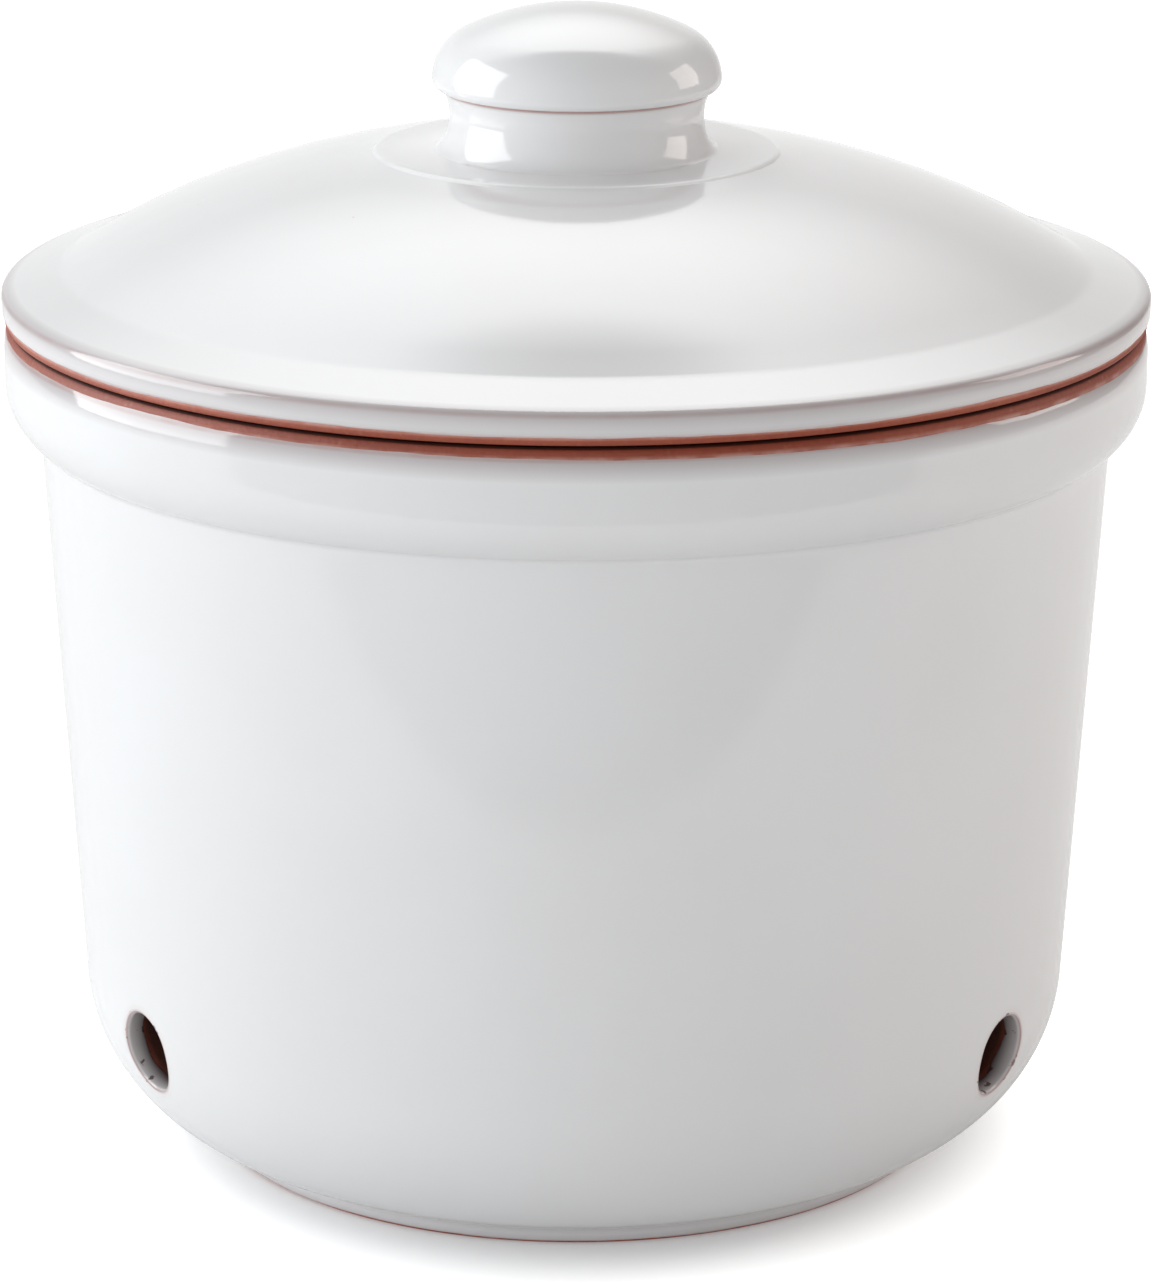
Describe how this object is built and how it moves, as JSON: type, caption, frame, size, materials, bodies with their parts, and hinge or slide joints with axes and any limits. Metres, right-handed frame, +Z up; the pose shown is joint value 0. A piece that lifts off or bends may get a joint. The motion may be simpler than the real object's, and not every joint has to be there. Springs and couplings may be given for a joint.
{
  "type": "lidded clay storage pot",
  "caption": "Round glazed clay storage pot with a rolled collar, foot ring and vent holes low in the wall, closed by a domed lift-off lid with a mushroom knob.",
  "frame": {"origin": "centre of the foot ring, on the surface the pot stands on", "axes": "+Z up along the pot's axis; the two front vents lie either side of -Y, the third vent faces +Y"},
  "size_m": [0.24, 0.24, 0.2429],
  "materials": {
    "red_clay": "bare fired red clay, matt, fine grain",
    "white_glaze": "glossy white glaze, thin and pinkish over sharp edges",
    "lid_clay": "bare fired red clay, matt, fine grain",
    "lid_white_glaze": "glossy white glaze, thin and pinkish over sharp edges"
  },
  "bodies": {
    "pot": {"pot_body": "red_clay", "pot_glaze": "white_glaze"},
    "lid": {"lid_body": "lid_clay", "lid_glaze": "lid_white_glaze", "lid_knob": "lid_clay", "knob_glaze": "lid_white_glaze"}
  },
  "joints": [
    {"name": "lid_lift", "type": "slide", "parent": "pot", "child": "lid", "axis": [0, 0, 1], "range_m": [0, 0.12]}
  ]
}
